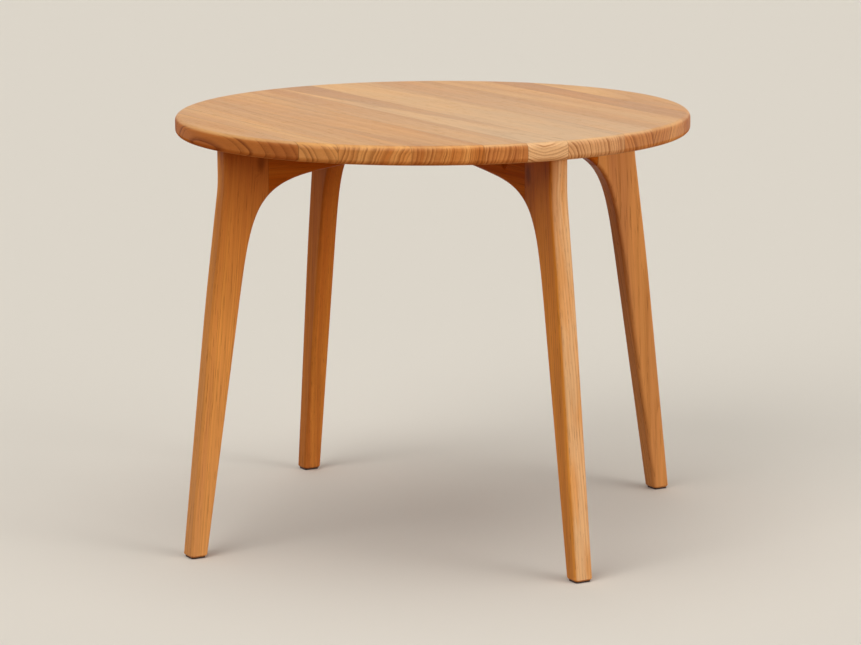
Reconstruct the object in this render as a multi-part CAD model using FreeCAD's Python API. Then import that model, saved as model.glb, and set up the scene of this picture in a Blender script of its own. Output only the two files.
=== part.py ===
import FreeCAD, Part

import math
import os

# Round dining table on four splayed legs. Millimetres, +Z up.
# The origin is on the floor under the middle of the top.
# +X runs along the boards of the top. One cross rail lies along X, the other along Y,
# and a leg stands at each of the four rail ends.

# Overall sizes
table_height = 698.0
top_diameter = 850.0
top_thickness = 31.0
wood_thickness = 33.0

# Tabletop: solid boards glued edge to edge, then cut round
top_edge_round = 9.0
# Places of the glue lines from front to back, as shares of the top's radius from its middle
glue_line_shares = [-0.861, -0.769, -0.567, -0.332, -0.174, -0.012, 0.256, 0.424, 0.678, 0.800]

# Outer edge of a leg, from the top down
top_overhang = 32.0
shoulder_drop = 62.0
shoulder_run = 15.0
knee_outset = 26.0
knee_drop = 249.0
knee_run = 60.0
foot_outset = 74.0
foot_width = 31.0

# Inner edge of a leg, and the arch under a rail
spring_width = 47.5
spring_drop = 266.5
arch_run = 98.5
arch_end_depth = 48.3
crest_depth = 34.6
# How far each handle of the curve from leg to arch reaches towards the crossing of its tangents
leg_handle_share = 0.8
arch_handle_share = 1.0

# Eased edges of legs and rails
frame_edge_round = 7.0
foot_bevel = 2.5

# Dowelled butt joint between the top of a leg and the end of a rail
leg_top_width = 77.5
dowel_count = 2
dowel_diameter = 12.0
dowel_length = 60.0
dowel_bevel = 1.5
dowel_first_drop = 20.0
dowel_pitch = 26.0
dowel_fit = 0.1
dowel_end_room = 2.0

# Halved joint where the rails cross
halving_fit = 0.1

# Screw pockets in the rail faces, and the screws that hold the top down
pocket_diameter = 24.0
pocket_inset = 62.8
pocket_seat_drop = 9.0
pocket_seat_depth = 5.0
pocket_tilt_degrees = 40.0
screw_diameter = 4.0
screw_length = 30.0
screw_tip_length = 5.0
screw_tip_diameter = 0.8
screw_head_diameter = 8.0
screw_head_height = 2.6
screw_head_round = 1.0
screw_rail_fit = 0.3
screw_pilot_fit = 0.1
screw_tip_room = 1.0
drive_slot_length = 4.6
drive_slot_width = 0.9
drive_slot_depth = 1.6

# Felt pads under the feet
pad_thickness = 3.0
pad_inset = 3.0
pad_corner_round = 4.0

# How far a cut runs past the wood, and how close two heights are to count as one
overrun = 5.0
same_height = 0.001

# Places worked out from the sizes above
top_radius = top_diameter / 2
rail_top = table_height - top_thickness
half_wood = wood_thickness / 2
shoulder_reach = top_radius - top_overhang
knee_reach = shoulder_reach + knee_outset
foot_reach = shoulder_reach + foot_outset
foot_inner_reach = foot_reach - foot_width
spring_reach = knee_reach - spring_width
joint_reach = shoulder_reach - leg_top_width
arch_end_reach = joint_reach - arch_run
arch_end_height = rail_top - arch_end_depth
crest_height = rail_top - crest_depth
halving_height = rail_top - crest_depth / 2
pocket_reach = joint_reach - pocket_inset

# The way each leg stands from the middle, in degrees about the upright middle line
arm_turns = {"right": 0, "back": 90, "left": 180, "front": 270}

centre = FreeCAD.Vector(0, 0, 0)
along_x = FreeCAD.Vector(1, 0, 0)
upwards = FreeCAD.Vector(0, 0, 1)


def at(reach, height):
    """A point of the frame's outline, in the upright plane of the X rail."""
    return FreeCAD.Vector(reach, 0, height)


def line(start, end):
    return Part.LineSegment(start, end).toShape()


def block(x_range, y_range, z_range):
    """A square-cornered block between two places along each axis."""
    corner = FreeCAD.Vector(x_range[0], y_range[0], z_range[0])
    sides = [high - low for low, high in (x_range, y_range, z_range)]
    return Part.makeBox(*sides, corner)


def turned(shape, degrees):
    """A copy of a shape, turned about the table's upright middle line."""
    copy = shape.copy()
    copy.rotate(centre, upwards, degrees)
    return copy


def corner_arc(before, corner, after, run):
    """The arc that touches both sides of a corner at a given run from it: start, middle, end."""
    side_in = (before - corner).normalize()
    side_out = (after - corner).normalize()
    half_angle = side_in.getAngle(side_out) / 2
    to_arc = run / math.cos(half_angle) - run * math.tan(half_angle)
    middle = corner + (side_in + side_out).normalize() * to_arc
    return corner + side_in * run, middle, corner + side_out * run


def outer_edge():
    """The outer edge of a leg, from the rail's top down to the foot."""
    top = at(shoulder_reach, rail_top)
    shoulder = at(shoulder_reach, rail_top - shoulder_drop)
    knee = at(knee_reach, rail_top - knee_drop)
    foot = at(foot_reach, pad_thickness)
    shoulder_arc = corner_arc(top, shoulder, knee, shoulder_run)
    knee_arc = corner_arc(shoulder, knee, foot, knee_run)
    return [
        line(top, shoulder_arc[0]),
        Part.Arc(*shoulder_arc).toShape(),
        line(shoulder_arc[2], knee_arc[0]),
        Part.Arc(*knee_arc).toShape(),
        line(knee_arc[2], foot),
    ]


def tangent_crossing(start, heading, end, end_heading):
    """Where the line from start along heading meets the line through end along end_heading."""
    gap = end - start
    across = heading.x * end_heading.z - heading.z * end_heading.x
    return start + heading * ((gap.x * end_heading.z - gap.z * end_heading.x) / across)


def inner_edge():
    """The inner edge of a leg from the foot up, and the curve that takes it into the arch."""
    foot = at(foot_inner_reach, pad_thickness)
    spring = at(spring_reach, rail_top - spring_drop)
    arch_end = at(arch_end_reach, arch_end_height)
    rise = crest_height - arch_end_height
    arch_radius = (arch_end_reach ** 2 + rise ** 2) / (2 * rise)
    arch_angle = math.asin(arch_end_reach / arch_radius)
    arch_heading = FreeCAD.Vector(math.cos(arch_angle), 0, -math.sin(arch_angle))
    corner = tangent_crossing(spring, (spring - foot).normalize(), arch_end, arch_heading)
    leg_handle = spring + (corner - spring) * leg_handle_share
    arch_handle = arch_end + (corner - arch_end) * arch_handle_share
    curve = Part.BezierCurve()
    curve.setPoles([spring, leg_handle, arch_handle, arch_end])
    return [line(foot, spring), curve.toShape()]


def is_level(edge, height):
    """Whether an edge lies level at this height."""
    return abs(edge.BoundBox.ZMin - height) < same_height and edge.BoundBox.ZLength < same_height


def is_eased(edge):
    """Whether an edge of the blank runs along a side face, below the top and above the sole."""
    in_side_face = edge.BoundBox.YLength < same_height
    return in_side_face and not is_level(edge, rail_top) and not is_level(edge, pad_thickness)


def frame_blank():
    """One rail and its two legs in one shape, before they are parted at the joints."""
    sole = line(at(foot_reach, pad_thickness), at(foot_inner_reach, pad_thickness))
    one_side = outer_edge() + [sole] + inner_edge()
    other_side = [edge.mirror(centre, along_x) for edge in reversed(one_side)]
    arch_middle = at(0, crest_height)
    arch_ends = at(arch_end_reach, arch_end_height), at(-arch_end_reach, arch_end_height)
    arch = Part.Arc(arch_ends[0], arch_middle, arch_ends[1]).toShape()
    rail_edge = line(at(-shoulder_reach, rail_top), at(shoulder_reach, rail_top))
    face = Part.Face(Part.Wire([rail_edge] + one_side + [arch] + other_side))
    face.translate(FreeCAD.Vector(0, -half_wood, 0))
    blank = face.extrude(FreeCAD.Vector(0, wood_thickness, 0))
    blank = blank.makeFillet(frame_edge_round, [edge for edge in blank.Edges if is_eased(edge)])
    sole_edges = [edge for edge in blank.Edges if is_level(edge, pad_thickness)]
    return blank.makeChamfer(foot_bevel, sole_edges)


def rail(blank):
    """The part of the blank between its two leg joints."""
    reach = (-joint_reach, joint_reach)
    return blank.common(block(reach, (-wood_thickness, wood_thickness), (0, table_height)))


def leg(blank):
    """The part of the blank outside the joint on the right."""
    reach = (joint_reach, foot_reach + overrun)
    return blank.common(block(reach, (-wood_thickness, wood_thickness), (0, table_height)))


def halving_notch(z_range):
    """The notch at the middle of a rail that takes the other rail."""
    width = (-half_wood - halving_fit, half_wood + halving_fit)
    return block(width, (-wood_thickness, wood_thickness), z_range)


def dowel_heights():
    return [rail_top - dowel_first_drop - step * dowel_pitch for step in range(dowel_count)]


def dowel(height):
    """A dowel in the joint of the right leg, half of it in the leg and half in the rail."""
    start = at(joint_reach - dowel_length / 2, height)
    pin = Part.makeCylinder(dowel_diameter / 2, dowel_length, start, along_x)
    end_edges = [edge for edge in pin.Edges if edge.BoundBox.XLength < same_height]
    return pin.makeChamfer(dowel_bevel, end_edges)


def dowel_hole(height):
    """The hole for a dowel, through the joint into leg and rail."""
    length = dowel_length + 2 * dowel_end_room
    start = at(joint_reach - length / 2, height)
    return Part.makeCylinder(dowel_diameter / 2 + dowel_fit, length, start, along_x)


def at_pocket(shape):
    """Moves a shape made along the upright axis to the screw pocket of the right arm."""
    seat = FreeCAD.Vector(pocket_reach, pocket_seat_depth - half_wood, rail_top - pocket_seat_drop)
    tilt = FreeCAD.Rotation(along_x, -pocket_tilt_degrees)
    return shape.transformed(FreeCAD.Placement(seat, tilt).toMatrix())


def upright_cylinder(diameter, bottom, top):
    return Part.makeCylinder(diameter / 2, top - bottom, at(0, bottom), upwards)


def screw():
    """A pan-head wood screw with a cross drive, its head's seat at height zero."""
    head = upright_cylinder(screw_head_diameter, -screw_head_height, 0)
    rim = [edge for edge in head.Edges if is_level(edge, -screw_head_height)]
    head = head.makeFillet(screw_head_round, rim)
    long_side = (-drive_slot_length / 2, drive_slot_length / 2)
    short_side = (-drive_slot_width / 2, drive_slot_width / 2)
    slot_heights = (-screw_head_height - overrun, drive_slot_depth - screw_head_height)
    for sides in ((long_side, short_side), (short_side, long_side)):
        head = head.cut(block(*sides, slot_heights))
    tip_start = screw_length - screw_tip_length
    shank = upright_cylinder(screw_diameter, 0, tip_start)
    tip_radii = screw_diameter / 2, screw_tip_diameter / 2
    tip = Part.makeCone(*tip_radii, screw_tip_length, at(0, tip_start), upwards)
    return at_pocket(head.fuse([shank, tip]).removeSplitter())


def rail_pocket():
    """The round pocket in a rail's face and the hole for the screw's shank above it."""
    pocket = upright_cylinder(pocket_diameter, -wood_thickness - pocket_diameter, 0)
    hole = upright_cylinder(screw_diameter + 2 * screw_rail_fit, -overrun, screw_length)
    return at_pocket(pocket.fuse(hole))


def pilot_hole():
    """The hole that a screw cuts for itself in the underside of the top."""
    diameter = screw_diameter + 2 * screw_pilot_fit
    return at_pocket(upright_cylinder(diameter, 0, screw_length + screw_tip_room))


def boards():
    """The boards of the top, from front to back."""
    disc = upright_cylinder(top_diameter, rail_top, table_height)
    rims = [edge for edge in disc.Edges if is_level(edge, rail_top) or is_level(edge, table_height)]
    disc = disc.makeFillet(top_edge_round, rims)
    for degrees in arm_turns.values():
        disc = disc.cut(turned(pilot_hole(), degrees))
    glue_lines = [share * top_radius for share in glue_line_shares]
    bounds = [-top_radius] + glue_lines + [top_radius]
    across = (-top_radius, top_radius)
    upright = (rail_top, table_height)
    return [disc.common(block(across, sides, upright)) for sides in zip(bounds, bounds[1:])]


def felt_pad():
    """The pad under the right foot, glued to its sole."""
    reach = (foot_inner_reach + pad_inset, foot_reach - pad_inset)
    sides = (pad_inset - half_wood, half_wood - pad_inset)
    pad = block(reach, sides, (0, pad_thickness))
    upright_edges = [edge for edge in pad.Edges if edge.BoundBox.ZLength > same_height]
    return pad.makeFillet(pad_corner_round, upright_edges)


def single_solid(shape):
    """The one solid of a shape, without the wrapping that a cut leaves round it."""
    if len(shape.Solids) != 1:
        raise ValueError("expected one solid, found %d" % len(shape.Solids))
    return shape.Solids[0]


def table():
    """Every piece of the table by name, each a list of its solids."""
    pieces = {}
    for number, board in enumerate(boards(), 1):
        pieces["top_board_%02d" % number] = [single_solid(board)]

    blank = frame_blank()
    dowel_holes = [dowel_hole(height) for height in dowel_heights()]
    right_leg = single_solid(leg(blank).cut(dowel_holes))
    for name, degrees in arm_turns.items():
        pieces["leg_" + name] = [turned(right_leg, degrees)]
        pieces["foot_pad_" + name] = [turned(felt_pad(), degrees)]

    bored_rail = rail(blank)
    for degrees in (arm_turns["right"], arm_turns["left"]):
        for tool in dowel_holes + [rail_pocket()]:
            bored_rail = bored_rail.cut(turned(tool, degrees))
    upper_half = halving_height, rail_top + overrun
    lower_half = crest_height - overrun, halving_height
    pieces["rail_left_right"] = [single_solid(bored_rail.cut(halving_notch(upper_half)))]
    crossing_rail = single_solid(bored_rail.cut(halving_notch(lower_half)))
    pieces["rail_front_back"] = [turned(crossing_rail, arm_turns["back"])]

    turns = arm_turns.values()
    pins = [dowel(height) for height in dowel_heights()]
    pieces["leg_dowels"] = [turned(pin, degrees) for degrees in turns for pin in pins]
    pieces["top_screws"] = [turned(single_solid(screw()), degrees) for degrees in turns]
    return pieces


def main():
    os.makedirs("parts", exist_ok=True)
    for name, solids in table().items():
        shape = solids[0] if len(solids) == 1 else Part.makeCompound(solids)
        shape.exportStep("parts/%s.step" % name)
        print("%-18s %2d solid(s) %10.0f mm3" % (name, len(solids), shape.Volume))


main()
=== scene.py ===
"""Looks of a round dining table in oiled oak, made around its packed construction.

The top is eleven boards glued edge to edge and cut round. It stands on two crossed rails with a splayed
leg at each end, held by beech dowels, and four screws in slanted pockets hold the top down.
Lengths are in metres unless a name ends in _mm or a comment says millimetres.
"""
import math
from collections import Counter, namedtuple

import bmesh
import bpy
from bpy.props import FloatProperty, FloatVectorProperty, IntProperty, PointerProperty
from mathutils import Matrix, Vector


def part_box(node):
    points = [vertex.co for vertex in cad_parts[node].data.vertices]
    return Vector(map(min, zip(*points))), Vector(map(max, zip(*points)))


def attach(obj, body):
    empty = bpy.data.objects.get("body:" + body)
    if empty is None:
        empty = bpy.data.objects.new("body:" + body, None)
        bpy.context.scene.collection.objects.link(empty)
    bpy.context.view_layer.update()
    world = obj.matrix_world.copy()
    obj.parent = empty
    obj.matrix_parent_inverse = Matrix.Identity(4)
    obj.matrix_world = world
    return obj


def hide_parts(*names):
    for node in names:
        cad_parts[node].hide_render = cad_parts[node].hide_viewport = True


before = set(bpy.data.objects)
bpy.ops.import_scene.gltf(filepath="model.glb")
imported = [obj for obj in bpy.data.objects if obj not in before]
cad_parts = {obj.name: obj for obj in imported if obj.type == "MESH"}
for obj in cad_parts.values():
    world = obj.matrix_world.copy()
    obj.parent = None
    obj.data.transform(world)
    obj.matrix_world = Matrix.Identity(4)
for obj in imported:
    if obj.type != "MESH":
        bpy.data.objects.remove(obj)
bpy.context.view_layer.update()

bl_info = {
    "name": "Round Oak Table",
    "version": (1, 0, 0),
    "blender": (4, 5, 0),
    "location": "3D View > Sidebar > Table",
    "description": "Dresses the boards, legs, rails, dowels, screws and pads of a round table",
    "category": "Add Mesh",
}

MM = 0.001
BODY = "root"

# The turn of each leg about the table's upright middle line, in degrees from the +X side
LEG_TURNS = {"right": 0, "back": 90, "left": 180, "front": 270}

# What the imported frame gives
BOARD_NODES = sorted(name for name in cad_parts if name.startswith("top_board"))
TOP_LOW, TOP_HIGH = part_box("top_board_06")
RAIL_LOW, RAIL_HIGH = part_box("rail_left_right")
LEG_LOW, LEG_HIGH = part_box("leg_right")
PAD_LOW, PAD_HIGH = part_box("foot_pad_right")
SCREW_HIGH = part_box("top_screws")[1]
TOP_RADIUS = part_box("top_board_11")[1].y
JOINT_REACH = RAIL_HIGH.x
HALF_WOOD = RAIL_HIGH.y

# Faces that turn less than this from each other are shaded as one, as the cosine of 30 degrees
CRISP = math.cos(math.radians(30))

# How one piece of oak was cut from the log. Millimetres.
# pith: where the log's middle runs beside the piece, across it and up
# lean: how far the pith wanders across and up for each metre of length
# tone: from 0, pale, to 1, dark
# growth: how wide its rings are, as a share of the ordinary ring width
# soak: how much its end grain and, on a board, its rim are darkened, from 0, none, to 1, deep brown: by
# oil in the end grain, and on the rim partly as painted shade
# polish: how well its surface gleams
# fade: how much paler it is at either end, the second being the foot of a leg or the right of a board,
# where less than 0 starts it farther along. This paleness is painted sheen and light, as from a window
# at the right
# bleach: how much paler its outer face is, in frayed patches: painted sheen from a window at the right
# heart: a red-brown streak on one side of a slanting line, as the line's place across, its slope in
# millimetres for each metre of length, the side (1 or -1), and how strong it is at either end, where
# less than 0 ends it short of that end. On a board it is heartwood; on a leg, strong at the top, it is
# painted shade under the tabletop
# knot: its place along the grain and across it, and its reach, which bends the rings round it
Cut = namedtuple("Cut", "pith lean tone growth soak heart knot polish fade bleach",
                 defaults=(1.0, 0.6, (0, 0, 1, 0, 0), (0, 0, 0.01), 0.5, (0, 0), 0.0))

# The boards from front to back, with ring figures like those on the end grain of the rim
BOARD_CUTS = [
    Cut((-150, -60), (10, 20), 0.54, 2.0, 0.95, (-20, 20, -1, 0.2, 0.1), polish=0.25, fade=(-0.9, 1.0)),
    Cut((-140, -70), (20, -25), 0.42, 1.5, 0.45),
    Cut((150, -70), (-40, 25), 0.40, 1.3, 0.35, (-22, -40, 1, 0.55, 0.0)),
    Cut((-260, 12), (30, 40), 0.52, 1.0, 0.5, (-45, 90, -1, 0.1, 0.65)),
    Cut((-220, 5), (-25, 25), 0.64, 1.3, 0.85, (10, 30, 1, 0.0, 0.35), fade=(0, 0.5)),
    Cut((-10, 58), (25, -30), 0.18, 1.0, 0.0, (4, 86, 1, 1.0, 0.35), polish=0.7, fade=(0, 0.95)),
    Cut((-95, -40), (35, 20), 0.20, 1.4, 0.45, (44, -10, 1, 0.4, 0.25), polish=0.8, fade=(0, 0.9)),
    Cut((-170, -100), (-30, 30), 0.74, 1.9, 0.85, polish=0.8, fade=(0, 0.75)),
    Cut((120, -75), (40, -35), 0.46, 1.7, 0.55, (-24, 10, -1, 0.45, 0.4), polish=0.65, fade=(0, 0.3)),
    Cut((120, 30), (20, 20), 0.84, 1.3, 0.75, (-60, 0, 1, 0.3, 0.6), fade=(0, 0.35)),
    Cut((-20, 90), (-45, 40), 0.30, 1.0, 0.5, (26, 0, 1, 0.3, 0.45)),
]

# The first seeds of the legs and the rails, so that their figure repeats no board's, whose first seed is 1
LEG_SEED = 21
RAIL_SEED = 31

# Legs and rails, rift sawn so that the grain runs straight down the piece
# The heart streaks of the right, left and front legs, strong at the top and gone before the foot, are painted
# shade under the tabletop
LEG_CUTS = {
    "right": Cut((-70, 85), (10, 25), 0.24, heart=(-5, 0, -1, 1.1, -1.6), knot=(-303, -43, 10),
                 polish=0.1, fade=(0, 0.15), bleach=0.85),
    "back": Cut((130, 60), (-25, 15), 0.64, polish=0.12, fade=(0.3, 0.3)),
    "left": Cut((-110, -55), (20, -30), 0.72, heart=(-99, 0, 1, 1.3, -0.6), polish=0.05, fade=(0, 0.1)),
    "front": Cut((90, -120), (-15, 30), 0.22, heart=(-2, 0, 1, 1.5, -1.7), knot=(-309, -40, 10),
                 polish=0.1, fade=(0.06, 0.36), bleach=0.12),
}
# The rails' dark tones are partly painted shade, as they stand in the shade under the top
RAIL_CUTS = {
    "rail_left_right": Cut((95, -60), (20, 15), 0.66, heart=(10, 0, 1, 0.1, 0.2), polish=0.02),
    "rail_front_back": Cut((-80, 75), (-20, 25), 0.96, heart=(12, 0, 1, 0.6, 0.2), polish=0.04),
}


def linear(hex_colour):
    """An sRGB colour written as #RRGGBB, as the linear colour with alpha that Blender works in."""
    shares = [int(hex_colour[start:start + 2], 16) / 255 for start in (1, 3, 5)]
    lit = [s / 12.92 if s <= 0.04045 else ((s + 0.055) / 1.055) ** 2.4 for s in shares]
    return (*lit, 1.0)


def colour_property(name, description, hex_colour):
    return FloatVectorProperty(
        name=name, description=description, default=linear(hex_colour), size=4, min=0, max=1, subtype="COLOR"
    )


def length_property(name, description, default_mm):
    return FloatProperty(
        name=name, description=description, default=default_mm * MM, min=0, unit="LENGTH", subtype="DISTANCE"
    )


def angle_property(name, description, degrees):
    return FloatProperty(name=name, description=description, default=math.radians(degrees), subtype="ANGLE")


def strength_property(name, description, default):
    return FloatProperty(name=name, description=description, default=default)


class TopSettings(bpy.types.PropertyGroup):
    """Shape of the round top."""

    edge_round: length_property("Edge round", "Radius of the eased rim, above and below", 9)
    rim_steps: IntProperty(name="Rim steps", description="Sides of the round rim", default=384, min=48)
    round_steps: IntProperty(name="Round steps", description="Steps across each eased edge", default=7, min=2)


class WoodSettings(bpy.types.PropertyGroup):
    """Figure and finish of the oak."""

    ring_width: length_property("Ring width", "Width of one growth ring", 4.3)
    pore_length: length_property("Pore length", "Length of one pore streak along the grain", 38)
    pore_width: length_property("Pore width", "Width of one pore streak", 1.0)
    fibre_width: length_property("Fibre width", "Width of one pale or dark fibre streak", 2.2)
    glue_width: length_property("Glue line", "Width of the dark line where two pieces meet", 1.0)
    pale: colour_property("Pale board", "Late wood of the palest board under oil", "#DFA55F")
    dark: colour_property("Dark board", "Late wood of the darkest board under oil", "#C07A38")
    frame_pale: colour_property("Pale leg", "Late wood of the palest leg under oil", "#D78C32")
    frame_dark: colour_property("Dark leg", "Late wood of the darkest leg or rail under oil", "#A25212")
    ring: colour_property("Early wood", "Porous band at the start of each ring", "#91561F")
    # Heartwood on the boards, and painted shade at the tops of the legs
    heart: colour_property("Heart streak and shade", "Brown heartwood, and painted shade on the legs", "#9B5422")
    pore: colour_property("Pores", "Open pores filled with oil", "#643814")
    knot: colour_property("Knots", "Dense brown wood of a knot", "#70360A")
    # The colour of the painted sheen on the ends of the pieces and on the legs' outer faces
    painted_sheen: colour_property("Painted sheen colour", "Oak from which the oil has faded", "#D4A878")
    glue: colour_property("Glue", "Glue line, darkened by oil", "#6B3F18")
    # Tint of oiled end grain, and of the painted shade on the rim
    soak_shade_tint: colour_property("Soak and shade tint", "Darker tint of oiled end grain, and of the painted shade on the rim", "#D4A979")


class ScrewSettings(bpy.types.PropertyGroup):
    """The wood screws in the rail pockets."""

    tilt: angle_property("Tilt", "Lean of a screw from upright", 40)
    seat_drop: length_property("Seat drop", "From the rail's top down to the seat of the head", 9)
    seat_depth: length_property("Seat depth", "From the rail's face in to the seat of the head", 5)
    length: length_property("Length", "From the seat of the head to the tip", 30)
    shank_diameter: length_property("Shank", "Outer diameter of the thread", 4)
    head_diameter: length_property("Head diameter", "Diameter of the pan head", 8)
    head_height: length_property("Head height", "Height of the pan head", 2.6)
    thread_pitch: length_property("Thread pitch", "Rise of the thread in one turn", 1.8)
    slot_length: length_property("Slot length", "Length of each slot of the cross drive", 4.6)
    slot_width: length_property("Slot width", "Width of each slot of the cross drive", 0.9)
    slot_depth: length_property("Slot depth", "Depth of the cross drive", 1.6)


class DowelSettings(bpy.types.PropertyGroup):
    """The fluted dowels in the joints between legs and rails."""

    diameter: length_property("Diameter", "Diameter over the flutes", 12)
    length: length_property("Length", "Length of a dowel", 60)
    pitch: length_property("Pitch", "From one dowel of a joint to the next", 26)
    first_drop: length_property("First drop", "From the rail's top to the upper dowel", 20)
    flutes: IntProperty(name="Flutes", description="Glue grooves round a dowel", default=20, min=6)
    flute_depth: length_property("Flute depth", "Depth of a glue groove", 0.5)
    bevel: length_property("Bevel", "Bevel at each end", 1.5)
    colour: colour_property("Beech", "Steamed beech", "#D9B48C")
    fleck: colour_property("Flecks", "Rays of the beech", "#B98A5E")


class PadSettings(bpy.types.PropertyGroup):
    """The felt pads under the feet."""

    corner_round: length_property("Corner round", "Radius of the upright corners", 4)
    edge_round: length_property("Edge round", "Softness of the worn lower edge", 0.8)
    colour: colour_property("Felt", "Dyed wool felt", "#3A2A20")


class StageSettings(bpy.types.PropertyGroup):
    """Camera, light and floor."""

    camera_turn: angle_property("Camera turn", "Turn round the table", 59.78)
    camera_reach: length_property("Camera reach", "From the middle line to the camera, level", 5527.2)
    camera_height: length_property("Camera height", "Height of the camera above the floor", 1409.5)
    camera_pitch: angle_property("Camera pitch", "Tilt below the horizon", 10.934)
    camera_pan: angle_property("Camera pan", "Turn left of the middle line", 0.06)
    camera_roll: angle_property("Camera roll", "Roll about the view", -0.376)
    lens_mm: FloatProperty(name="Lens", description="Focal length on a 36 mm sensor", default=140.69, min=1)
    floor: colour_property("Floor", "Plain pale floor", "#DCD5C9")
    bounce: colour_property("Floor bounce", "Tone of the light that the floor throws up", "#A6763E")
    world_strength: strength_property("Room light", "Even light from all round", 0.03)
    window_strength: strength_property("Window", "Large soft light at the right", 0.9)
    low_window_strength: strength_property("Low window", "Light just over the floor", 2.3)
    fill_strength: strength_property("Fill", "Soft light in front", 1.2)
    side_strength: strength_property("Side fill", "Low soft light at the left", 0.5)
    ceiling_strength: strength_property("Ceiling", "Soft light from above", 1.44)
    back_strength: strength_property("Back fill", "Low soft light behind the table", 0.35)


# Soft distant lights: the way to each as its turn from the front and its rise above the floor, and its
# spread, in degrees. The low ones aren't mirrored, because they would show on the top as a white image
# from the far side.
Lamp = namedtuple("Lamp", "name strength turn rise spread mirrored", defaults=(True,))
LAMPS = [
    Lamp("Window", "window_strength", turn=126, rise=24, spread=70),
    Lamp("Low window", "low_window_strength", turn=118, rise=5, spread=30, mirrored=False),
    Lamp("Fill", "fill_strength", turn=25, rise=38, spread=40),
    Lamp("Side fill", "side_strength", turn=0, rise=18, spread=40),
    Lamp("Ceiling", "ceiling_strength", turn=0, rise=88, spread=60),
    Lamp("Back fill", "back_strength", turn=240, rise=15, spread=50, mirrored=False),
]
SENSOR_MM = 36
# How far the camera sees, and how far the floor reaches from the middle
VIEW_REACH = 100
FLOOR_REACH = 40


class Wire:
    """What a node gives. A sum written with it adds a math node to the same tree."""

    def __init__(self, node, name=None):
        self.node = node
        self.name = name

    @property
    def tree(self):
        return self.node.id_data

    @property
    def socket(self):
        """The named output, or else the first that the node gives with its present options."""
        if self.name:
            return self.node.outputs[self.name]
        return next(output for output in self.node.outputs if output.enabled)

    def __getitem__(self, name):
        return Wire(self.node, name)

    def __add__(self, other):
        return sums("ADD", self, other)

    def __sub__(self, other):
        return sums("SUBTRACT", self, other)

    def __rsub__(self, other):
        return sums("SUBTRACT", other, self)

    def __mul__(self, other):
        return sums("MULTIPLY", self, other)

    def __truediv__(self, other):
        return sums("DIVIDE", self, other)

    def __abs__(self):
        return sums("ABSOLUTE", self)


def feed(socket, value):
    """Give a socket a constant, a wire or a list of wires."""
    if isinstance(value, list):
        for wire in value:
            feed(socket, wire)
    elif isinstance(value, Wire):
        value.tree.links.new(value.socket, socket)
    elif socket.type == "VECTOR" and isinstance(value, (int, float)):
        socket.default_value = (value, value, value)
    else:
        socket.default_value = value


def add_node(tree, kind, feeds=(), **options):
    """Add a node, set its options, then feed its inputs by place or by name."""
    node = tree.nodes.new(kind)
    for option, value in options.items():
        setattr(node, option, value)
    open_inputs = [socket for socket in node.inputs if socket.enabled]
    pairs = feeds.items() if isinstance(feeds, dict) else enumerate(feeds)
    for key, value in pairs:
        socket = open_inputs[key] if isinstance(key, int) else next(s for s in open_inputs if s.name == key)
        feed(socket, value)
    return Wire(node)


def new_tree(name, kind, inputs, outputs):
    """A node tree, what its inputs give and the sockets of its outputs, which are named by kind."""
    tree = bpy.data.node_groups.new(name, kind)
    for way, sockets in (("INPUT", inputs), ("OUTPUT", outputs)):
        for socket_kind, names in sockets.items():
            for socket_name in names.split(", "):
                tree.interface.new_socket(socket_name, in_out=way, socket_type=socket_kind)
    return tree, Wire(tree.nodes.new("NodeGroupInput")), tree.nodes.new("NodeGroupOutput").inputs


# Kinds of node
NOISE = "ShaderNodeTexNoise"
POSITION = "GeometryNodeInputPosition"
INSTANCE = "GeometryNodeInstanceOnPoints"
EXTRUDE = "GeometryNodeExtrudeMesh"
BOOLEAN = "GeometryNodeMeshBoolean"
CUBE = "GeometryNodeMeshCube"
GEOMETRY_TREE = "GeometryNodeTree"

# Kinds of socket
FLOAT = "NodeSocketFloat"
INTEGER = "NodeSocketInt"
VECTOR = "NodeSocketVector"
COLOUR = "NodeSocketColor"
GEOMETRY = "NodeSocketGeometry"
MATERIAL = "NodeSocketMaterial"


def tree_of(values):
    """The node tree of the first wire among these values."""
    return next(value.tree for value in values if isinstance(value, Wire))


def has_parts(value):
    """Whether a value is a vector or a colour."""
    if isinstance(value, Wire):
        return value.socket.type in ("VECTOR", "RGBA")
    return not isinstance(value, (int, float))


def sums(operation, *values, **options):
    """A math node, which works on vectors where one of its values is a vector or a colour."""
    kind = "ShaderNodeVectorMath" if any(has_parts(value) for value in values) else "ShaderNodeMath"
    return add_node(tree_of(values), kind, values, operation=operation, **options)


def combine(x=0.0, y=0.0, z=0.0):
    """A vector from its three parts."""
    return add_node(tree_of((x, y, z)), "ShaderNodeCombineXYZ", (x, y, z))


def separate(vector):
    """The parts of a vector, as X, Y and Z."""
    return add_node(vector.tree, "ShaderNodeSeparateXYZ", [vector])


def ramp(value, low, high, to_low=0.0, to_high=1.0, curve="LINEAR"):
    """A straight rise, or fall, as a value goes from low to high."""
    feeds = [value, low, high, to_low, to_high]
    return add_node(value.tree, "ShaderNodeMapRange", feeds, interpolation_type=curve)


def smooth_step(value, low, high, to_low=0.0, to_high=1.0):
    """A smooth rise, or fall, as a value goes from low to high."""
    return ramp(value, low, high, to_low, to_high, "SMOOTHSTEP")


def blend(colour, other, share):
    """A colour mixed with this share of another."""
    feeds = {"Factor": share, "A": colour, "B": other}
    return add_node(share.tree, "ShaderNodeMix", feeds, data_type="RGBA")


def stretched_noise(point_mm, along_mm, across_mm, detail=1.0):
    """Noise whose patches are this long along the grain and this wide across it."""
    place = point_mm * (1 / along_mm, 1 / across_mm, 1 / across_mm)
    return add_node(place.tree, NOISE, {"Vector": place, "Scale": 1.0, "Detail": detail})


# How far apart in the noise two pieces lie whose seeds are one apart, in millimetres
SEED_STEP = (311.0, 97.0, 53.0)
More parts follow.
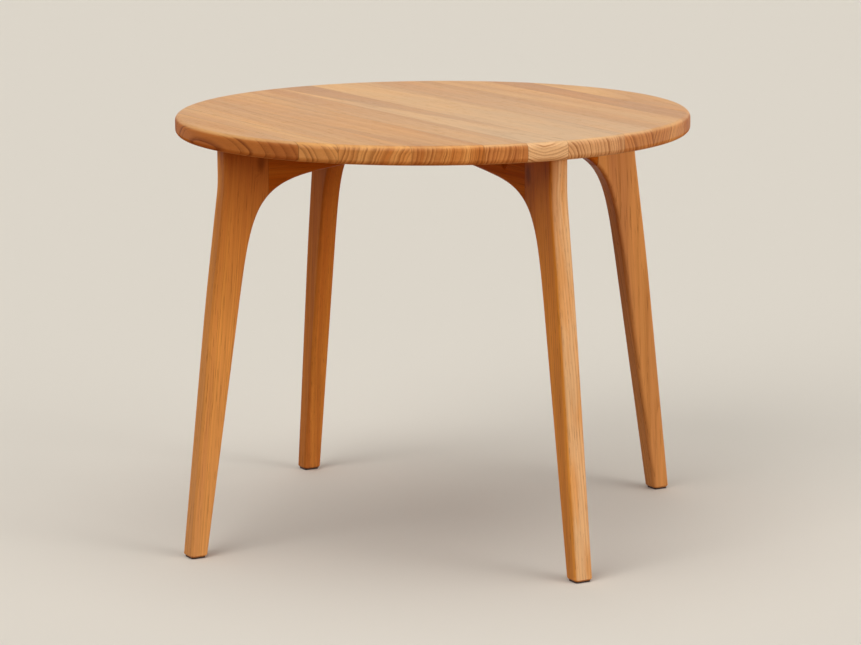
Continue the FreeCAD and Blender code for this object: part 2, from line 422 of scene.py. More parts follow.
# Patches of the oak's noise, as their length along the grain and their width across it, in millimetres:
# what bends the rings, what clouds the tone and what frays a streak
SWAY_PATCH = (260.0, 48.0)
CLOUD_PATCH = (150.0, 45.0)
FRAY_PATCH = (130.0, 14.0)
FIBRE_LENGTH = 170.0
# How far in millimetres the rings are bent, a knot bends them, and a streak's edge is frayed
SWAY_REACH = 11.0
KNOT_BEND = 14.0
FRAY_REACH = 26.0
# The heart streak sets in over this distance from its frayed edge, in millimetres
HEART_ONSET = (9.0, 18.0)
# Good years and lean ones take turns over this depth of wood in millimetres, and shift it by so many rings
YEARS_DEPTH = 19.0
YEARS_SHIFT = 2.4
# A band of tone is this many rings wide, and changes so often in a metre of length
BAND_RINGS = 3.2
BAND_CHANGES = 1.1
# A knot reaches farther along the grain than across it
KNOT_SHAPE = (0.45, 0.0, 1.0)
ACROSS_GRAIN = (0.0, 1.0, 1.0)


def oak_tree(wood):
    """The figure of sawn oak in three dimensions, so that faces, edges and end grain all belong together.

    X of the grain point runs along the grain. Rings are circles round the pith, pores and fibres are
    streaks along the grain, and a cut across the grain shows them as dots.
    """
    inputs = {
        VECTOR: "Grain point, Grain normal, Pith, Lean, Knot",
        FLOAT: "Half length, Seed, Rim, Glue gap, Tone, Growth, Soak, Knot reach, Bleach, Fade start, "
               "Fade end, Heart edge, Heart slope, Heart side, Heart start, Heart end",
        COLOUR: "Pale, Dark",
    }
    outputs = {COLOUR: "Colour", FLOAT: "Roughness, Relief"}
    tree, given, made = new_tree("Sawn oak", "ShaderNodeTree", inputs, outputs)
    point = given["Grain point"] * (1 / MM)
    grain = point + given["Seed"] * SEED_STEP
    along = separate(point)
    metres_along = along["X"] * MM
    reach = metres_along / given["Half length"]
    facing = separate(given["Grain normal"])

    # Rings: distance from the pith, bent by slow noise so that flat faces show arches, and round a knot
    sway = (stretched_noise(grain, *SWAY_PATCH, 2.0)["Color"] - (0.5, 0.5, 0.5)) * SWAY_REACH
    pith = given["Pith"] + given["Lean"] * metres_along
    radius = sums("LENGTH", (point - pith + sway) * ACROSS_GRAIN)["Value"]
    from_knot = sums("LENGTH", (point - given["Knot"]) * KNOT_SHAPE)["Value"] / given["Knot reach"]
    radius = radius + smooth_step(from_knot, 0.0, 1.6, KNOT_BEND, 0.0)
    years = add_node(tree, NOISE, {"W": radius * (1 / YEARS_DEPTH), "Scale": 1.0}, noise_dimensions="1D")
    ring = years * YEARS_SHIFT + radius * (MM / wood.ring_width) / given["Growth"]
    share = sums("FRACT", ring)
    year = sums("FLOOR", ring) + given["Seed"]
    year = add_node(tree, "ShaderNodeTexWhiteNoise", {"W": year}, noise_dimensions="1D")["Value"]
    early = sums("MAXIMUM", smooth_step(share, 0.9, 1.0), smooth_step(share, 0.0, 0.7, 1.0, 0.0))
    early_band = early * (year * 0.75 + 0.25)

    # Bands a few rings wide, which are what shows from a few steps away
    band_place = combine(metres_along * BAND_CHANGES, ring * (1 / BAND_RINGS), given["Seed"])
    band = add_node(tree, NOISE, {"Vector": band_place, "Scale": 1.0, "Detail": 1.5})
    fibre = stretched_noise(grain, FIBRE_LENGTH, wood.fibre_width / MM, 2.5)
    cloud = stretched_noise(grain, *CLOUD_PATCH, 1.5)
    fray = stretched_noise(grain, *FRAY_PATCH, 2.0)

    # Pores, crowded into the early wood
    pore = stretched_noise(grain, wood.pore_length / MM, wood.pore_width / MM)
    pore = smooth_step(pore - (early * -0.11 + 0.70), 0.0, 0.05)

    # End grain drinks more oil and is darker. The rim where it was cut round is darkened too, partly by oil
    # and partly as painted shade, which reaches farther down its lower rounding than up its upper one
    end = smooth_step(abs(facing["X"]), 0.5, 0.95)
    rim = smooth_step(abs(facing["Z"] + 0.15), 0.5, 0.95, 1.0, 0.0) * given["Rim"]
    soak_shade_mask = sums("MAXIMUM", end, rim)
    soak_shade_share = soak_shade_mask * given["Soak"]

    # The piece's tone, in bands that differ most on the end grain and the darkened rim
    shade = sums("MULTIPLY_ADD", band - 0.5, soak_shade_mask * 2.2 + 1.5, given["Tone"], use_clamp=True)
    colour = blend(given["Pale"], given["Dark"], shade)

    # Painted sheen: paler towards its ends, and on the outer face in frayed patches, as where a window at
    # the right would gleam on it
    painted_sheen = ramp(reach, -1.0, 1.0, given["Fade start"], given["Fade end"])
    outer = smooth_step(facing["Z"], 0.5, 0.95) * given["Bleach"] * smooth_step(fray, 0.3, 0.6, 0.55, 1.1)
    colour = blend(colour, wood.painted_sheen, sums("MAXIMUM", painted_sheen, outer))

    # Early wood, fainter on the flat of a board than on a leg and strongest on the end grain and the darkened
    # rim
    ring_share = soak_shade_mask * 0.85 + (given["Rim"] * -0.20 + 0.34)
    colour = blend(colour, wood.ring, early_band * ring_share)

    # Heart streak on one side of a slanting line, which on the legs is painted shade at the top, and the knot
    drift = given["Heart slope"] * metres_along + given["Heart edge"]
    off_line = (along["Y"] - drift) * given["Heart side"]
    heart = smooth_step(fray * FRAY_REACH + off_line, *HEART_ONSET)
    heart = heart * ramp(reach, -1.0, 1.0, given["Heart start"], given["Heart end"])
    colour = blend(colour, wood.heart, heart * 0.55)
    colour = blend(colour, wood.knot, smooth_step(from_knot, 0.25, 1.1, 0.7, 0.0))

    # Pale and dark fibres, the darker tint of oiled end grain and of the rim's painted shade, pores and the
    # glue line
    bright = cloud * 0.24 + ((fibre - 0.5) * (given["Rim"] * -0.08 + 0.34) + 0.88)
    colour = colour * bright
    colour = blend(colour, colour * wood.soak_shade_tint[:3], soak_shade_share)
    colour = blend(colour, wood.pore, pore * (given["Rim"] * -0.14 + 0.42))
    glue_line = smooth_step(given["Glue gap"], wood.glue_width * 0.2, wood.glue_width * 0.7, 0.55, 0.0)
    feed(made["Colour"], blend(colour, wood.glue, glue_line))

    # The underside of the top is left unpolished
    raw = smooth_step(facing["Z"] * -1.0, 0.0, 0.35, 0.0, 0.6) * given["Rim"]
    feed(made["Roughness"], raw + (soak_shade_share * 0.25 + (cloud * 0.10 + (pore * 0.18 + 0.29))))
    feed(made["Relief"], fibre * 0.05 + (early_band * -0.03 + pore * -0.10))


def new_material(name):
    """An empty material and its node tree."""
    material = bpy.data.materials.new(name)
    material.use_nodes = True
    material.node_tree.nodes.clear()
    return material, material.node_tree


def set_surface(tree, feeds):
    """End a material with one shader that takes these values."""
    surface = add_node(tree, "ShaderNodeBsdfPrincipled", feeds)
    add_node(tree, "ShaderNodeOutputMaterial", {"Surface": surface})


def oiled_oak(name, tones, cut, centre, grain_turn, half_length, seed, glue_axis, glue_centre, glue_reach,
              rim=0.0):
    """Solid white oak, sanded and oiled: warm figure under a soft satin sheen, darker on the end grain.

    tones are its palest and darkest colours. centre and grain_turn are the place and turn of the piece's
    own axes, X along its grain. A glue line is drawn glue_reach from glue_centre, either way along
    glue_axis. rim is 1 for a board whose sides belong to the round rim.
    """
    material, tree = new_material("Oiled oak, " + name)
    space = add_node(tree, "ShaderNodeTexCoord")
    feeds = {"Vector": space["Object"], "Location": centre, "Rotation": grain_turn}
    point = add_node(tree, "ShaderNodeMapping", feeds, vector_type="TEXTURE")
    feeds = {"Vector": space["Normal"], "Rotation": grain_turn}
    normal = add_node(tree, "ShaderNodeMapping", feeds, vector_type="TEXTURE")
    out = sums("DOT_PRODUCT", space["Object"] - glue_centre, glue_axis)["Value"]
    edge, slope, side, start, end = cut.heart
    wood = add_node(tree, "ShaderNodeGroup", {
        "Grain point": point, "Grain normal": normal, "Pith": (0, *cut.pith), "Lean": (0, *cut.lean),
        "Tone": cut.tone, "Heart edge": edge, "Heart slope": slope, "Heart side": side,
        "Heart start": start, "Heart end": end, "Half length": half_length, "Seed": seed,
        "Glue gap": abs(abs(out) - glue_reach), "Pale": tones[0], "Dark": tones[1], "Rim": rim,
        "Growth": cut.growth, "Knot": (cut.knot[0], 0, cut.knot[1]), "Knot reach": cut.knot[2],
        "Soak": cut.soak, "Fade start": cut.fade[0], "Fade end": cut.fade[1], "Bleach": cut.bleach,
    }, node_tree=bpy.data.node_groups["Sawn oak"])
    relief = add_node(tree, "ShaderNodeBump", {"Strength": 0.7, "Distance": MM, "Height": wood["Relief"]})
    set_surface(tree, {
        "Base Color": wood["Colour"], "Roughness": wood["Roughness"], "Normal": relief,
        "IOR": 1.5, "Specular IOR Level": cut.polish, "Specular Tint": linear("#FFEBC8"),
    })
    return material


def turned_beech(dowels):
    """Beech rod: even pale pinkish tan, with short darker flecks along the grain and no open pores."""
    material, tree = new_material("Turned beech")
    place = add_node(tree, "ShaderNodeAttribute", attribute_name="dowel_place")["Vector"]
    fleck_size = (0.5 * MM, 0.5 * MM, 2.5 * MM)
    flecks = add_node(tree, NOISE, {"Vector": place / fleck_size, "Scale": 1.0, "Detail": 1.0})
    flecks = smooth_step(flecks, 0.58, 0.7)
    colour = blend(dowels.colour, dowels.fleck, flecks)
    set_surface(tree, {"Base Color": colour, "Roughness": flecks * 0.1 + 0.5})
    return material


def zinc_plated_steel():
    """Bright zinc over steel: cool silver, a little clouded, with a soft gleam."""
    material, tree = new_material("Zinc-plated steel")
    space = add_node(tree, "ShaderNodeTexCoord")["Object"]
    cloud_size = 2.0 * MM
    cloud = add_node(tree, NOISE, {"Vector": space, "Scale": 1 / cloud_size, "Detail": 2.0})
    colour = blend(linear("#AEB4B8"), linear("#C9CDCF"), cloud)
    set_surface(tree, {"Base Color": colour, "Metallic": 1.0, "Roughness": cloud * 0.2 + 0.22})
    return material


def wool_felt(pads):
    """Pressed wool felt: matt dark brown, mottled by tangled fibres that catch a faint sheen."""
    material, tree = new_material("Wool felt")
    space = add_node(tree, "ShaderNodeTexCoord")["Object"]
    tangle_size = 0.6 * MM
    feeds = {"Vector": space, "Scale": 1 / tangle_size, "Detail": 3.0, "Distortion": 1.5}
    fibres = add_node(tree, NOISE, feeds)
    mottle = smooth_step(fibres, 0.35, 0.65, 0.6, 1.35)
    relief = add_node(tree, "ShaderNodeBump", {"Strength": 1.0, "Distance": 0.2 * MM, "Height": fibres})
    set_surface(tree, {
        "Base Color": mottle * pads.colour[:3], "Roughness": 0.95, "Sheen Weight": 0.3, "Normal": relief,
    })
    return material


def sharp_corners(piece):
    """Shade eased edges smoothly, keep flat faces flat to the light and corners over 30 degrees crisp.

    Each corner of a face takes the mean normal of the faces round it that turn less than that from it,
    where a face counts by the square of the area of the whole flat that it is part of.
    """
    mesh = piece.data
    mesh.shade_smooth()
    normals = [face.normal.copy() for face in mesh.polygons]
    flats = []
    spread = Counter()
    around = [[] for _ in mesh.vertices]
    for face, normal in zip(mesh.polygons, normals):
        flats.append((*(round(part, 2) for part in normal), round(normal.dot(face.center) / MM)))
        spread[flats[-1]] += face.area / MM
        for vertex in face.vertices:
            around[vertex].append(face.index)
    shading = []
    for face in mesh.polygons:
        for vertex in face.vertices:
            near = [index for index in around[vertex] if normals[index].dot(normals[face.index]) > CRISP]
            turned = sum((normals[index] * spread[flats[index]] ** 2 for index in near), Vector())
            shading.append(turned.normalized())
    mesh.normals_split_custom_set(shading)


def new_object(name, data):
    """A new object in the scene."""
    made = bpy.data.objects.new(name, data)
    bpy.context.scene.collection.objects.link(made)
    return made


def link_piece(name, mesh, node):
    """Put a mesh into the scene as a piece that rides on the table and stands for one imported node."""
    mesh.name = name
    piece = new_object(name, mesh)
    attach(piece, BODY)
    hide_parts(node)
    sharp_corners(piece)


def grown_mesh(tree, settings, sizes):
    """The plain mesh that a geometry node tree makes. Each input takes the size or setting of its name."""
    named = {item.name: getattr(settings, item.identifier) for item in settings.bl_rna.properties}
    sizes = named | sizes
    holder = new_object("holder", bpy.data.meshes.new("holder"))
    modifier = holder.modifiers.new("Grow", "NODES")
    modifier.node_group = tree
    for item in tree.interface.items_tree:
        if item.in_out == "INPUT" and item.name in sizes:
            modifier[item.identifier] = sizes[item.name]
    depsgraph = bpy.context.evaluated_depsgraph_get()
    mesh = bpy.data.meshes.new_from_object(holder.evaluated_get(depsgraph), depsgraph=depsgraph)
    bpy.data.objects.remove(holder)
    # Set Material leaves an empty slot behind, which is dropped
    finish = next(material for material in mesh.materials if material)
    mesh.materials.clear()
    mesh.materials.append(finish)
    mesh.polygons.foreach_set("material_index", [0] * len(mesh.polygons))
    return mesh


def dress_packed(node, name, cut, centre, grain_turn, half_length, seed, outward):
    """A packed leg or rail in its own oak, with its loose triangles joined, ready for smooth shading.

    outward is the way along its arm, on which the glue line between leg and rail lies.
    """
    stock = bpy.context.scene.table_wood
    wood = oiled_oak(name, (stock.frame_pale, stock.frame_dark), cut, centre, grain_turn, half_length, seed,
                     outward, (0, 0, 0), JOINT_REACH)
    shape = bmesh.new()
    shape.from_mesh(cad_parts[node].data)
    bmesh.ops.remove_doubles(shape, verts=shape.verts, dist=0.001 * MM)
    mesh = bpy.data.meshes.new(node)
    shape.to_mesh(mesh)
    shape.free()
    mesh.materials.append(wood)
    link_piece("oak_" + node, mesh, node)


def moved(geometry, place, turn=(0, 0, 0)):
    """Geometry turned and then taken to a place."""
    feeds = {"Geometry": geometry, "Translation": place, "Rotation": turn}
    return add_node(geometry.tree, "GeometryNodeTransform", feeds)


def set_position(geometry, position):
    feeds = {"Geometry": geometry, "Position": position}
    return add_node(geometry.tree, "GeometryNodeSetPosition", feeds)


def plain_cylinder(tree, sides, rows):
    """An upright cylinder of length 1 and radius 1, to be shaped row by row, and each point's place."""
    feeds = {"Vertices": sides, "Side Segments": rows, "Radius": 1.0, "Depth": 1.0}
    return add_node(tree, "GeometryNodeMeshCylinder", feeds), separate(add_node(tree, POSITION))


def eased_cylinder_tree():
    """An upright cylinder on the origin, both ends eased in a few steps. One step is a plain bevel."""
    inputs = {INTEGER: "Sides, Ease steps", FLOAT: "Length, Radius, Ease"}
    tree, given, made = new_tree("Eased cylinder", GEOMETRY_TREE, inputs, {GEOMETRY: "Mesh"})
    # Each row of a plain cylinder is moved onto the eased profile
    rows = given["Ease steps"] * 2.0 + 1.0
    plain, place = plain_cylinder(tree, given["Sides"], rows)
    row = place["Z"] * rows
    angle = (abs(row) - 0.5) / given["Ease steps"] * (math.pi / 2)
    straight = given["Length"] * 0.5 - given["Ease"]
    height = (sums("SINE", angle) * given["Ease"] + straight) * sums("SIGN", row)
    reach = (sums("COSINE", angle) - 1.0) * given["Ease"] + given["Radius"]
    feed(made["Mesh"], set_position(plain, combine(place["X"] * reach, place["Y"] * reach, height)))


def eased_cylinder(tree, sides, length, radius, ease, steps):
    """The eased cylinder, as a group in another tree."""
    feeds = {"Sides": sides, "Length": length, "Radius": radius, "Ease": ease, "Ease steps": steps}
    return add_node(tree, "GeometryNodeGroup", feeds, node_tree=bpy.data.node_groups["Eased cylinder"])


def four_arms_tree():
    """The same thing on each of the table's four arms, turned about the upright middle line."""
    inputs, outputs = {GEOMETRY: "On one arm"}, {GEOMETRY: "On all arms"}
    tree, given, made = new_tree("Four arms", GEOMETRY_TREE, inputs, outputs)
    arms = add_node(tree, "GeometryNodeMeshLine", {"Count": len(LEG_TURNS), "Offset": (0, 0, 0)})
    turn = add_node(tree, "GeometryNodeInputIndex") * (math.tau / len(LEG_TURNS))
    feeds = {"Points": arms, "Instance": given["On one arm"], "Rotation": combine(z=turn)}
    feed(made["On all arms"], add_node(tree, INSTANCE, feeds))


def on_four_arms(geometry):
    turned = bpy.data.node_groups["Four arms"]
    return add_node(geometry.tree, "GeometryNodeGroup", [geometry], node_tree=turned)


def finish_tree(geometry, material, made):
    """End a tree: real geometry, with its material."""
    real = add_node(geometry.tree, "GeometryNodeRealizeInstances", [geometry])
    feed(made, add_node(geometry.tree, "GeometryNodeSetMaterial", {"Geometry": real, "Material": material}))


def board_tree():
    """A board of the round top: the eased disc, cut by the planes of its two glue lines."""
    inputs = {
        FLOAT: "Radius, Underside, Thickness, Edge round, Front, Back",
        INTEGER: "Rim steps, Round steps", MATERIAL: "Wood",
    }
    tree, given, made = new_tree("Board of the round top", GEOMETRY_TREE, inputs, {GEOMETRY: "Board"})
    disc = eased_cylinder(tree, given["Rim steps"], given["Thickness"], given["Radius"], given["Edge round"],
                          given["Round steps"])
    disc = moved(disc, combine(z=given["Thickness"] * 0.5 + given["Underside"]))
    width = given["Back"] - given["Front"]
    well_past = given["Radius"] * 4.0
    plank = add_node(tree, CUBE, {"Size": combine(well_past, width, well_past)})
    plank = moved(plank, combine(y=width * 0.5 + given["Front"]))
    board = add_node(tree, BOOLEAN, {"Mesh": [disc, plank]}, operation="INTERSECT", solver="EXACT")
    finish_tree(board, given["Wood"], made["Board"])
    return tree


def dowels_tree():
    """Fluted, bevelled dowels, one above the other in each joint between leg and rail."""
    inputs = {
        FLOAT: "Diameter, Length, Bevel, Flute depth, Joint reach, First height, Pitch",
        INTEGER: "Flutes", MATERIAL: "Beech",
    }
    tree, given, made = new_tree("Fluted dowels", GEOMETRY_TREE, inputs, {GEOMETRY: "Dowels"})
    radius = given["Diameter"] * 0.5
    sides_per_flute = 4.0
    pin = eased_cylinder(tree, given["Flutes"] * sides_per_flute, given["Length"], radius, given["Bevel"], 1)
    position = add_node(tree, POSITION)
    place = separate(position)
    angle = sums("ARCTAN2", place["Y"], place["X"])
    wave = sums("COSINE", angle * given["Flutes"]) * -0.5 + 0.5
    inset = 1.0 - wave * (given["Flute depth"] / radius)
    pin = set_position(pin, position * combine(inset, inset, 1.0))
    feeds = {"Geometry": pin, "Name": "dowel_place", "Value": position}
    pin = add_node(tree, "GeometryNodeStoreNamedAttribute", feeds, data_type="FLOAT_VECTOR")
    start = combine(given["Joint reach"], 0.0, given["First height"])
    down = combine(z=given["Pitch"] * -1.0)
    joint = add_node(tree, "GeometryNodeMeshLine", {"Count": 2, "Start Location": start, "Offset": down})
    pins = add_node(tree, INSTANCE, {"Points": joint, "Instance": pin, "Rotation": (0, math.pi / 2, 0)})
    finish_tree(on_four_arms(pins), given["Beech"], made["Dowels"])
    return tree


# The shank of a screw, whose lengths are shares of the whole: its thread begins, and its tip tapers
THREAD_ONSET = (0.28, 0.32)
TIP_TAPER = (0.83, 1.0)
# The tip and the core of the thread, as shares of the outer diameter
TIP_SHARE = 0.15
CORE_SHARE = 0.66
# A ridge of the thread falls away within this share of the pitch, either way
RIDGE_SHARE = 0.3


def threaded_shank(tree, given):
    """The shank of a screw: plain under the head, then a thread that runs out in the tip."""
    shank, place = plain_cylinder(tree, 20, 130)
    share = place["Z"] + 0.5
    height = share * given["Length"]
    angle = sums("ARCTAN2", place["Y"], place["X"])
    turns = angle * (-1 / math.tau) + height / given["Thread pitch"]
    ridge = ramp(abs(sums("FRACT", turns) - 0.5), 0.0, RIDGE_SHARE, 1.0, 0.0) * ramp(share, *THREAD_ONSET)
    reach = (ridge * (1 - CORE_SHARE) + CORE_SHARE) * ramp(share, *TIP_TAPER, 1.0, TIP_SHARE)
    reach = reach * given["Shank"] * 0.5
    return set_position(shank, combine(place["X"] * reach, place["Y"] * reach, height))


def pan_head(tree, given):
    """A pan head with a flat seat at height zero, its dome below, and a cross drive cut into it."""
    ease = given["Head height"] * 0.5
    tall = given["Head height"] + ease
    head = eased_cylinder(tree, 48, tall, given["Head diameter"] * 0.5, ease, 5)
    # What stands above the seat is pressed flat onto it
    place = separate(add_node(tree, POSITION))
    lowered = sums("MINIMUM", tall * 0.5 + place["Z"] - given["Head height"], 0.0)
    head = set_position(head, combine(place["X"], place["Y"], lowered))
    bottom = combine(z=given["Head height"] * -1.0)
    deep = given["Slot depth"] * 2.0
    slots = []
    for length, width in (("Slot length", "Slot width"), ("Slot width", "Slot length")):
        slot = add_node(tree, CUBE, {"Size": combine(given[length], given[width], deep)})
        slots.append(moved(slot, bottom))
    return add_node(tree, BOOLEAN, {"Mesh 1": head, "Mesh 2": slots}, operation="DIFFERENCE", solver="EXACT")


def screws_tree():
    """A pan-head wood screw, leaning in its pocket on each arm."""
    inputs = {
        FLOAT: "Length, Shank, Thread pitch, Head diameter, Head height, Slot length, Slot width, "
               "Slot depth, Tilt",
        VECTOR: "Seat", MATERIAL: "Steel",
    }
    tree, given, made = new_tree("Pocket screws", GEOMETRY_TREE, inputs, {GEOMETRY: "Screws"})
    # The shank starts a little inside the head, so that the two join into one closed shape
    shank = moved(threaded_shank(tree, given), (0, 0, -0.3 * MM))
    solids = [shank, pan_head(tree, given)]
    screw = add_node(tree, BOOLEAN, {"Mesh": solids}, operation="UNION", solver="EXACT")
    screw = moved(screw, given["Seat"], combine(x=given["Tilt"] * -1.0))
    finish_tree(on_four_arms(screw), given["Steel"], made["Screws"])
    return tree


def pad_tree():
    """A felt pad: a slab with round corners, its lower edge worn soft in three steps."""
    inputs = {
        FLOAT: "Length, Width, Thickness, Corner round, Edge round, Turn",
        VECTOR: "Place", MATERIAL: "Felt",
    }
    tree, given, made = new_tree("Felt pad", GEOMETRY_TREE, inputs, {GEOMETRY: "Pad"})
    feeds = {"Width": given["Length"], "Height": given["Width"]}
    outline = add_node(tree, "GeometryNodeCurvePrimitiveQuadrilateral", feeds)
    feeds = {"Curve": outline, "Radius": given["Corner round"], "Count": 8}
    outline = add_node(tree, "GeometryNodeFilletCurve", feeds, mode="POLY")
    top = add_node(tree, "GeometryNodeFillCurve", [outline], mode="NGONS")
    slab = add_node(tree, "GeometryNodeFlipFaces", [top])
    straight = given["Thickness"] - given["Edge round"]
    slab = add_node(tree, EXTRUDE, {"Mesh": slab, "Offset Scale": straight, "Individual": False})
    face = slab["Top"]
    steps = 3
    for step in range(steps):
        angles = [math.pi / 2 * (step + more) / steps for more in (0, 1)]
        drop = given["Edge round"] * (math.sin(angles[1]) - math.sin(angles[0]))
        inset = given["Edge round"] * (math.cos(angles[0]) - math.cos(angles[1]))
        feeds = {"Mesh": slab, "Selection": face, "Offset Scale": drop, "Individual": False}
        slab = add_node(tree, EXTRUDE, feeds)
        face = slab["Top"]
        feeds = {"Geometry": slab, "Selection": face, "Scale": inset / given["Width"] * -2.0 + 1.0}
        slab = add_node(tree, "GeometryNodeScaleElements", feeds)
    pad = add_node(tree, "GeometryNodeJoinGeometry", {"Geometry": [top, slab]})
    pad = add_node(tree, "GeometryNodeMergeByDistance", {"Geometry": pad, "Distance": 0.01 * MM})
    finish_tree(moved(pad, given["Place"], combine(z=given["Turn"])), given["Felt"], made["Pad"])
    return tree


class TABLE_OT_lay_boards(bpy.types.Operator):
    """Lay the eleven glued boards of the round top"""

    bl_idname = "table.lay_boards"
    bl_label = "Lay the boards"

    def execute(self, context):
        top = context.scene.table_top
        stock = context.scene.table_wood
        tree = board_tree()
        for number, (node, cut) in enumerate(zip(BOARD_NODES, BOARD_CUTS), 1):
            low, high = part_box(node)
            # The first and last boards end at the rim, so their outer planes stand clear of it
            front = low.y - TOP_RADIUS if number == 1 else low.y
            back = high.y + TOP_RADIUS if number == len(BOARD_NODES) else high.y
            wood = oiled_oak(
                "board %02d" % number, (stock.pale, stock.dark), cut,
                (0, (low.y + high.y) / 2, TOP_HIGH.z), (0, 0, 0), TOP_RADIUS, number,
                (0, 1, 0), (0, (front + back) / 2, 0), (back - front) / 2, rim=1.0,
            )
            mesh = grown_mesh(tree, top, {
                "Radius": TOP_RADIUS, "Underside": TOP_LOW.z, "Thickness": TOP_HIGH.z - TOP_LOW.z,
                "Front": front, "Back": back, "Wood": wood,
            })
            link_piece("oak_board_%02d" % number, mesh, node)
        return {"FINISHED"}


class TABLE_OT_stand_legs(bpy.types.Operator):
    """Stand the four splayed legs, grain running down each leg"""

    bl_idname = "table.stand_legs"
    bl_label = "Stand the legs"

    def execute(self, context):
        drop = LEG_HIGH.z - LEG_LOW.z
        # The grain leans a third as much as the line from the joint to the tip of the foot
        lean = math.atan2(LEG_HIGH.x - RAIL_HIGH.x, drop) / 3
        for seed, (side, turn) in enumerate(LEG_TURNS.items(), LEG_SEED):
            angle = math.radians(turn)
            outward = Vector((math.cos(angle), math.sin(angle), 0))
            centre = outward * (LEG_LOW.x + LEG_HIGH.x) / 2 + Vector((0, 0, (LEG_LOW.z + LEG_HIGH.z) / 2))
            dress_packed("leg_" + side, side + " leg", LEG_CUTS[side], centre,
                         (0, math.pi / 2 - lean, angle), drop / 2, seed, outward)
        return {"FINISHED"}


class TABLE_OT_fit_rails(bpy.types.Operator):
    """Fit the two crossed rails with their arched undersides and screw pockets"""

    bl_idname = "table.fit_rails"
    bl_label = "Fit the rails"

    def execute(self, context):
        centre = Vector((0, 0, (RAIL_LOW.z + RAIL_HIGH.z) / 2))
        for seed, (node, cut) in enumerate(RAIL_CUTS.items(), RAIL_SEED):
            angle = 0 if node == "rail_left_right" else math.pi / 2
            outward = Vector((math.cos(angle), math.sin(angle), 0))
            dress_packed(node, node.replace("_", " "), cut, centre, (math.pi / 2, 0, angle), JOINT_REACH,
                         seed, outward)
        return {"FINISHED"}


class TABLE_OT_drive_dowels(bpy.types.Operator):
    """Drive two fluted beech dowels into each joint between leg and rail"""

    bl_idname = "table.drive_dowels"
    bl_label = "Drive the dowels"

    def execute(self, context):
        dowels = context.scene.table_dowels
        mesh = grown_mesh(dowels_tree(), dowels, {
            "Joint reach": JOINT_REACH, "First height": RAIL_HIGH.z - dowels.first_drop,
            "Beech": turned_beech(dowels),
        })
        link_piece("beech_dowels", mesh, "leg_dowels")
        return {"FINISHED"}


class TABLE_OT_drive_screws(bpy.types.Operator):
    """Drive a screw up through each slanted pocket into the top"""

    bl_idname = "table.drive_screws"
    bl_label = "Drive the screws"

    def execute(self, context):
        screws = context.scene.table_screws
        reach = SCREW_HIGH.x - screws.head_diameter / 2
        seat = (reach, screws.seat_depth - HALF_WOOD, RAIL_HIGH.z - screws.seat_drop)
        mesh = grown_mesh(screws_tree(), screws, {"Seat": seat, "Steel": zinc_plated_steel()})
        link_piece("steel_screws", mesh, "top_screws")
        return {"FINISHED"}


class TABLE_OT_glue_pads(bpy.types.Operator):
    """Glue a felt pad under each foot"""

    bl_idname = "table.glue_pads"
    bl_label = "Glue the pads"

    def execute(self, context):
        pads = context.scene.table_pads
        tree = pad_tree()
        felt = wool_felt(pads)
        reach = (PAD_LOW.x + PAD_HIGH.x) / 2
        for side, turn in LEG_TURNS.items():
            angle = math.radians(turn)
            mesh = grown_mesh(tree, pads, {
                "Length": PAD_HIGH.x - PAD_LOW.x, "Width": PAD_HIGH.y - PAD_LOW.y, "Thickness": PAD_HIGH.z,
                "Place": (math.cos(angle) * reach, math.sin(angle) * reach, PAD_HIGH.z), "Turn": angle,
                "Felt": felt,
            })
            link_piece("felt_pad_" + side, mesh, "foot_pad_" + side)
        return {"FINISHED"}


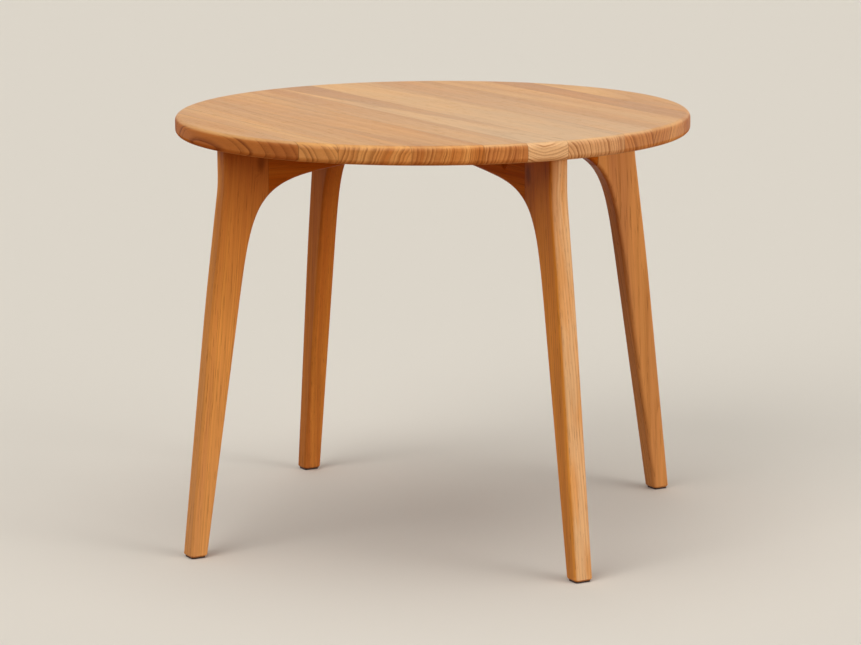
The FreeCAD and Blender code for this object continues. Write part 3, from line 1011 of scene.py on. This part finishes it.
class TABLE_OT_set_stage(bpy.types.Operator):
    """Set the camera, the soft light and the plain pale floor"""

    bl_idname = "table.set_stage"
    bl_label = "Set the stage"

    def execute(self, context):
        scene = context.scene
        stage = scene.table_stage
        self.camera(scene, stage)
        self.room(scene, stage)
        self.floor(stage)
        for lamp in LAMPS:
            self.light(lamp, getattr(stage, lamp.strength))
        scene.view_settings.view_transform = "Standard"
        return {"FINISHED"}

    def camera(self, scene, stage):
        camera = bpy.data.cameras.new("Camera")
        camera.sensor_width = SENSOR_MM
        camera.lens = stage.lens_mm
        camera.clip_end = VIEW_REACH
        holder = new_object("Camera", camera)
        around = Matrix.Rotation(stage.camera_turn, 4, "Z")
        place = around @ Matrix.Translation((0, -stage.camera_reach, stage.camera_height))
        pan = Matrix.Rotation(stage.camera_pan, 4, "Z")
        tilt = Matrix.Rotation(math.pi / 2 - stage.camera_pitch, 4, "X")
        roll = Matrix.Rotation(stage.camera_roll, 4, "Z")
        holder.matrix_world = place @ pan @ tilt @ roll
        scene.camera = holder

    def seen_apart(self, tree, shader, output, thrown, seen):
        """End a tree with a shader that takes these values for the light that it throws on the table, and
        those for what the camera sees, directly, mirrored or through glass."""
        path = add_node(tree, "ShaderNodeLightPath")
        share = sums("MAXIMUM", path["Is Camera Ray"], path["Is Glossy Ray"])
        share = sums("MAXIMUM", share, path["Is Transmission Ray"])
        shaders = [add_node(tree, shader, feeds) for feeds in (thrown, seen)]
        mixed = add_node(tree, "ShaderNodeMixShader", [share, *shaders])
        add_node(tree, output, {"Surface": mixed})

    def room(self, scene, stage):
        world = bpy.data.worlds.new("Soft room")
        world.use_nodes = True
        tree = world.node_tree
        tree.nodes.clear()
        thrown = {"Color": (1, 1, 1, 1), "Strength": stage.world_strength}
        seen = {"Color": stage.floor, "Strength": 1.0}
        self.seen_apart(tree, "ShaderNodeBackground", "ShaderNodeOutputWorld", thrown, seen)
        scene.world = world

    def floor(self, stage):
        shape = bmesh.new()
        bmesh.ops.create_grid(shape, x_segments=1, y_segments=1, size=FLOOR_REACH)
        mesh = bpy.data.meshes.new("floor")
        shape.to_mesh(mesh)
        shape.free()
        material, tree = new_material("Painted studio floor")
        # Pale to the eye and in reflections, while the light that it throws up is that of a warm floor
        thrown, seen = {"Color": stage.bounce}, {"Color": stage.floor}
        self.seen_apart(tree, "ShaderNodeBsdfDiffuse", "ShaderNodeOutputMaterial", thrown, seen)
        mesh.materials.append(material)
        floor = new_object("floor", mesh)

    def light(self, lamp, strength):
        sun = bpy.data.lights.new(lamp.name, "SUN")
        sun.energy = strength
        sun.angle = math.radians(lamp.spread)
        holder = new_object(lamp.name, sun)
        holder.visible_glossy = lamp.mirrored
        turn, rise = math.radians(lamp.turn), math.radians(lamp.rise)
        way = Vector((math.sin(turn) * math.cos(rise), -math.cos(turn) * math.cos(rise), math.sin(rise)))
        holder.rotation_euler = (-way).to_track_quat("-Z", "Y").to_euler()


class TABLE_PT_pieces(bpy.types.Panel):
    """Steps that dress the table, in order"""

    bl_label = "Round table"
    bl_idname = "TABLE_PT_pieces"
    bl_space_type = "VIEW_3D"
    bl_region_type = "UI"
    bl_category = "Table"

    def draw(self, context):
        for step in STEPS:
            self.layout.operator(step.bl_idname)


SETTINGS = {
    "table_top": TopSettings,
    "table_wood": WoodSettings,
    "table_screws": ScrewSettings,
    "table_dowels": DowelSettings,
    "table_pads": PadSettings,
    "table_stage": StageSettings,
}
STEPS = [
    TABLE_OT_lay_boards,
    TABLE_OT_stand_legs,
    TABLE_OT_fit_rails,
    TABLE_OT_drive_dowels,
    TABLE_OT_drive_screws,
    TABLE_OT_glue_pads,
    TABLE_OT_set_stage,
]
CLASSES = [*SETTINGS.values(), *STEPS, TABLE_PT_pieces]


def register():
    for each in CLASSES:
        bpy.utils.register_class(each)
    for name, group in SETTINGS.items():
        setattr(bpy.types.Scene, name, PointerProperty(type=group))


def unregister():
    for name in SETTINGS:
        delattr(bpy.types.Scene, name)
    for each in reversed(CLASSES):
        bpy.utils.unregister_class(each)


def main():
    register()
    oak_tree(bpy.context.scene.table_wood)
    eased_cylinder_tree()
    four_arms_tree()
    for step in STEPS:
        getattr(bpy.ops.table, step.bl_idname.removeprefix("table."))()


if __name__ == "__main__":
    main()
